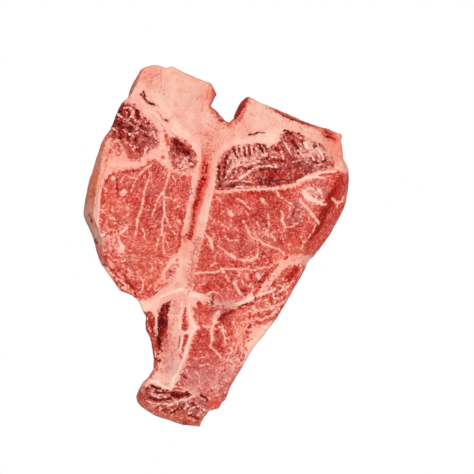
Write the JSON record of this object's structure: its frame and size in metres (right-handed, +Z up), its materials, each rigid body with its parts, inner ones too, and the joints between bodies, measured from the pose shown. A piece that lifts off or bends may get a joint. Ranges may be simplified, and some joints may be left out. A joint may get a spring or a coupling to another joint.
{
  "type": "t-bone steak",
  "caption": "Raw T-bone steak lying flat: T-shaped bone with half of the spinal canal, tenderloin beside it, strip loin across from it, fat seams, trimmed rind and a short tail.",
  "frame": {"origin": "centre of the bounding box, on the lower cut face that the steak lies on", "axes": "+Z up through the thickness, +Y along the length towards the backbone edge, +X towards the strip loin"},
  "size_m": [0.1606, 0.2189, 0.0229],
  "materials": {
    "bone": "freshly sawn damp bone, pale pink beige with dark red marrow",
    "lean": "raw marbled beef, moist, rose red with pale pink veins",
    "dark_lean": "darker raw marbled beef, moist, coarse grain",
    "fat": "firm raw beef fat, waxy, pale pink cream, greyer at the trimmed rind"
  },
  "bodies": {
    "root": {"bone": "bone", "lean_tenderloin": "lean", "lean_strip_loin": "lean", "lean_lower_strip": "lean", "lean_psoas_minor": "dark_lean", "lean_side_muscle": "dark_lean", "lean_multifidus": "dark_lean", "lean_tail": "dark_lean", "lean_chain_inner": "dark_lean", "lean_chain_outer": "dark_lean", "fat_cover": "fat", "fat_back": "fat", "fat_seam": "fat", "fat_edge": "fat"}
  },
  "joints": []
}
